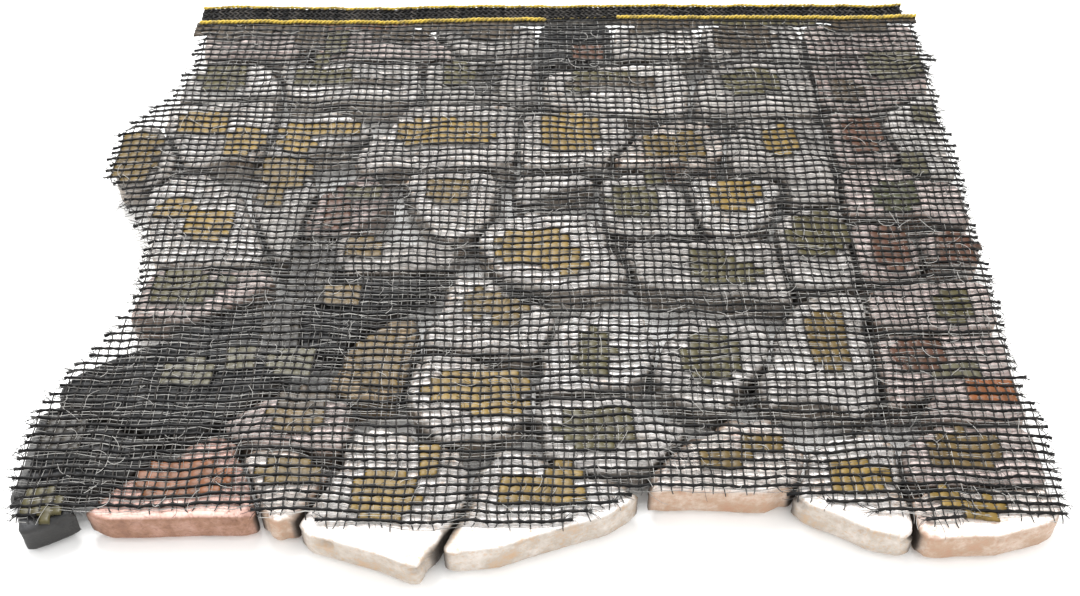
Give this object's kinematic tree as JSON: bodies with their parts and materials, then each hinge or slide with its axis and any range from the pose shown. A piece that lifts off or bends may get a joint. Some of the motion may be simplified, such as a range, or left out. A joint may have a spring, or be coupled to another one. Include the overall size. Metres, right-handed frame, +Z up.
{
  "type": "mosaic panel",
  "caption": "Net-backed sheet of natural stone crazy-paving mosaic, lying face down with its knitted net upwards.",
  "frame": {"origin": "on the surface that the stones' show faces lie on, under the middle of the sheet's box", "axes": "+Z up, out of the netted back; +Y across the sheet towards the net's selvedge; +X along the selvedge, to the right as seen with the selvedge at the far side"},
  "size_m": [0.3188, 0.2698, 0.0153],
  "materials": {
    "white_stone": "white marble, sawn back and tumbled edges",
    "grey_stone": "grey marble, sawn back and tumbled edges",
    "rose_stone": "rose marble, sawn back and tumbled edges",
    "cream_stone": "cream limestone, sawn back and tumbled edges",
    "tan_stone": "tan limestone, sawn back and tumbled edges",
    "red_stone": "red marble, sawn back and tumbled edges",
    "black_stone": "black marble, sawn back and split edges",
    "backing_net": "knitted black polyethylene net"
  },
  "bodies": {
    "root": {"backing_net": "backing_net", "black_stone_01": "black_stone", "black_stone_02": "black_stone", "black_stone_03": "black_stone", "black_stone_04": "black_stone", "black_stone_05": "black_stone", "cream_stone_01": "cream_stone", "cream_stone_02": "cream_stone", "cream_stone_03": "cream_stone", "cream_stone_04": "cream_stone", "grey_stone_01": "grey_stone", "grey_stone_02": "grey_stone", "grey_stone_03": "grey_stone", "grey_stone_04": "grey_stone", "grey_stone_05": "grey_stone", "grey_stone_06": "grey_stone", "grey_stone_07": "grey_stone", "grey_stone_08": "grey_stone", "grey_stone_09": "grey_stone", "grey_stone_10": "grey_stone", "grey_stone_11": "grey_stone", "grey_stone_12": "grey_stone", "grey_stone_13": "grey_stone", "grey_stone_14": "grey_stone", "grey_stone_15": "grey_stone", "grey_stone_16": "grey_stone", "red_stone_01": "red_stone", "rose_stone_01": "rose_stone", "rose_stone_02": "rose_stone", "rose_stone_03": "rose_stone", "rose_stone_04": "rose_stone", "rose_stone_05": "rose_stone", "rose_stone_06": "rose_stone", "rose_stone_07": "rose_stone", "rose_stone_08": "rose_stone", "rose_stone_09": "rose_stone", "rose_stone_10": "rose_stone", "rose_stone_11": "rose_stone", "rose_stone_12": "rose_stone", "rose_stone_13": "rose_stone", "rose_stone_14": "rose_stone", "tan_stone_01": "tan_stone", "white_stone_01": "white_stone", "white_stone_02": "white_stone", "white_stone_03": "white_stone", "white_stone_04": "white_stone", "white_stone_05": "white_stone", "white_stone_06": "white_stone", "white_stone_07": "white_stone", "white_stone_08": "white_stone", "white_stone_09": "white_stone", "white_stone_10": "white_stone", "white_stone_11": "white_stone", "white_stone_12": "white_stone", "white_stone_13": "white_stone", "white_stone_14": "white_stone", "white_stone_15": "white_stone", "white_stone_16": "white_stone", "white_stone_17": "white_stone", "white_stone_18": "white_stone"}
  },
  "joints": []
}
